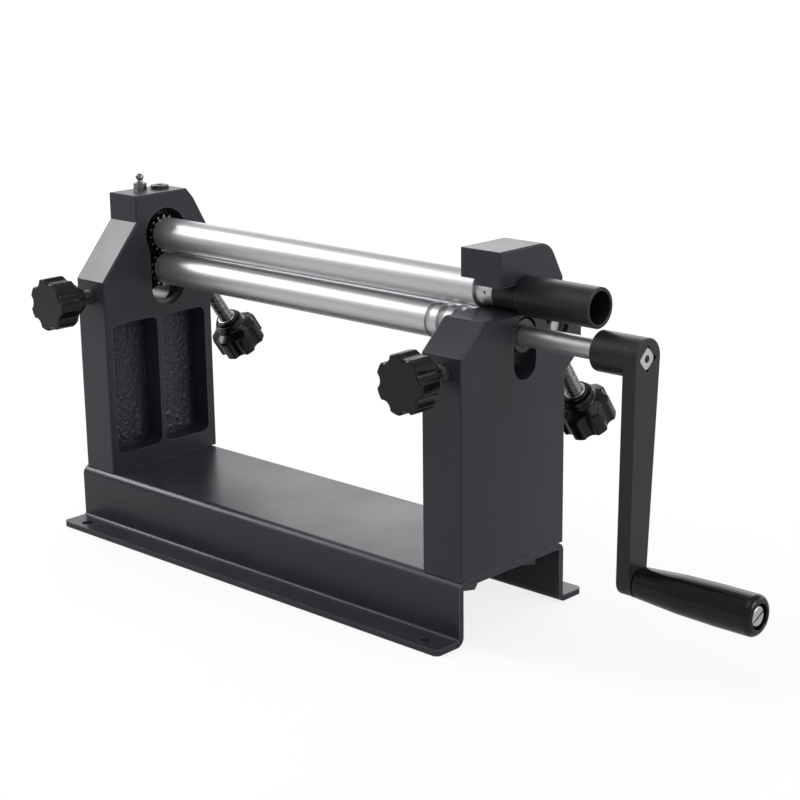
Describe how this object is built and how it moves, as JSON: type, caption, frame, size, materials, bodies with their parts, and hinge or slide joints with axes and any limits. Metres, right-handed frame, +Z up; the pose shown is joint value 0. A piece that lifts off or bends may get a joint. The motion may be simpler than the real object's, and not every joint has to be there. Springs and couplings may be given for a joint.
{
  "type": "slip roll machine",
  "caption": "Bench slip roll for sheet metal: pinch rolls and a rear bending roll between two cast frames, with crank, adjusting knobs and a latch cap that frees the upper roll.",
  "frame": {"origin": "centre of the base's underside, which is the centre of its four bench holes", "axes": "+X along the rolls towards the crank, +Y from the operator to the back, +Z up"},
  "size_m": [0.5851, 0.2117, 0.2697],
  "materials": {
    "frame_paint": "satin",
    "ground_steel": "ground",
    "gear_steel": "cut and oiled",
    "zinc_steel": "zinc plated",
    "block_steel": "milled",
    "spring_steel": "oiled",
    "black_steel": "blackened",
    "bronze": "turned",
    "brass_fitting": "satin",
    "black_plastic": "gloss"
  },
  "bodies": {
    "stand": {"base_channel": "frame_paint", "left_frame": "frame_paint", "right_frame": "frame_paint", "frame_bolts": "zinc_steel", "frame_washers": "zinc_steel", "grease_nipple": "brass_fitting", "oil_plug": "black_steel", "swivel_retaining_ring": "spring_steel", "cap_hinge_pin": "ground_steel"},
    "cap": {"latch_cap": "frame_paint"},
    "swivel": {"swivel_bush": "bronze"},
    "upper": {"upper_roll": "ground_steel", "upper_gear": "gear_steel", "upper_gear_key": "gear_steel", "upper_roll_clip": "spring_steel", "release_handle": "frame_paint", "handle_pin": "ground_steel"},
    "carriage": {"left_lower_bush": "bronze", "right_lower_bush": "bronze"},
    "lower": {"lower_roll": "ground_steel", "lower_gear": "gear_steel", "lower_gear_key": "gear_steel", "crank_arm": "frame_paint", "grip_spindle": "zinc_steel"},
    "grip": {"handle_grip": "black_plastic"},
    "rear_carriage": {"left_rear_block": "block_steel", "right_rear_block": "block_steel"},
    "rear": {"rear_roll": "ground_steel"},
    "left_cone": {"left_thrust_cone": "zinc_steel"},
    "right_cone": {"right_thrust_cone": "zinc_steel"},
    "left_front_adjuster": {"left_front_screw": "zinc_steel", "left_front_knob": "black_plastic", "left_front_insert": "zinc_steel"},
    "left_rear_adjuster": {"left_rear_screw": "zinc_steel", "left_rear_knob": "black_plastic", "left_rear_insert": "zinc_steel"},
    "right_front_adjuster": {"right_front_screw": "zinc_steel", "right_front_knob": "black_plastic", "right_front_insert": "zinc_steel"},
    "right_rear_adjuster": {"right_rear_screw": "zinc_steel", "right_rear_knob": "black_plastic", "right_rear_insert": "zinc_steel"}
  },
  "joints": [
    {"name": "cap_open", "type": "hinge", "parent": "stand", "child": "cap", "pos_m": [0.179, 0.04509, 0.229], "axis": [-1, 0, 0], "range_deg": [0, 110]},
    {"name": "roll_lift", "type": "hinge", "parent": "stand", "child": "swivel", "pos_m": [-0.184, 0.012, 0.2243], "axis": [0, -1, 0], "range_deg": [0, 6]},
    {"name": "upper_spin", "type": "hinge", "parent": "swivel", "child": "upper", "pos_m": [0, 0.012, 0.2243], "axis": [1, 0, 0], "continuous": true},
    {"name": "lower_slide", "type": "slide", "parent": "stand", "child": "carriage", "axis": [0, 0, 1], "range_m": [-0.0015, 0.0014]},
    {"name": "crank_turn", "type": "hinge", "parent": "carriage", "child": "lower", "pos_m": [0, 0.012, 0.1973], "axis": [1, 0, 0], "continuous": true},
    {"name": "grip_spin", "type": "hinge", "parent": "lower", "child": "grip", "pos_m": [0.34, 0.0062, 0.05302], "axis": [1, 0, 0], "continuous": true},
    {"name": "left_wedge", "type": "slide", "parent": "stand", "child": "left_cone", "axis": [0, 1, 0], "range_m": [-0.00413, 0.00386]},
    {"name": "right_wedge", "type": "slide", "parent": "stand", "child": "right_cone", "axis": [0, 1, 0], "range_m": [-0.00413, 0.00386]},
    {"name": "left_front_turn", "type": "hinge", "parent": "left_cone", "child": "left_front_adjuster", "pos_m": [-0.1805, 0, 0.182], "axis": [0, 1, 0], "range_deg": [-848, 792]},
    {"name": "right_front_turn", "type": "hinge", "parent": "right_cone", "child": "right_front_adjuster", "pos_m": [0.1805, 0, 0.182], "axis": [0, 1, 0], "range_deg": [-848, 792]},
    {"name": "rear_slide", "type": "slide", "parent": "stand", "child": "rear_carriage", "axis": [0, -0.5736, 0.8192], "range_m": [-0.001, 0.015]},
    {"name": "rear_spin", "type": "hinge", "parent": "rear_carriage", "child": "rear", "pos_m": [0, 0.048, 0.1974], "axis": [1, 0, 0], "continuous": true},
    {"name": "left_rear_turn", "type": "hinge", "parent": "rear_carriage", "child": "left_rear_adjuster", "pos_m": [-0.1805, 0.048, 0.1974], "axis": [0, -0.5736, 0.8192], "range_deg": [-206, 3086]},
    {"name": "right_rear_turn", "type": "hinge", "parent": "rear_carriage", "child": "right_rear_adjuster", "pos_m": [0.1805, 0.048, 0.1974], "axis": [0, -0.5736, 0.8192], "range_deg": [-206, 3086]}
  ],
  "couplings": [
    {"joint": "roll_lift", "follows": "cap_open", "ratio": 0.0545},
    {"joint": "upper_spin", "follows": "crank_turn", "ratio": -1},
    {"joint": "left_wedge", "follows": "lower_slide", "ratio": 2.7475},
    {"joint": "right_wedge", "follows": "lower_slide", "ratio": 2.7475},
    {"joint": "left_front_turn", "follows": "lower_slide", "rad_per_m": 9864.5},
    {"joint": "right_front_turn", "follows": "lower_slide", "rad_per_m": 9864.5},
    {"joint": "left_rear_turn", "follows": "rear_slide", "rad_per_m": 3590.4},
    {"joint": "right_rear_turn", "follows": "rear_slide", "rad_per_m": 3590.4}
  ]
}
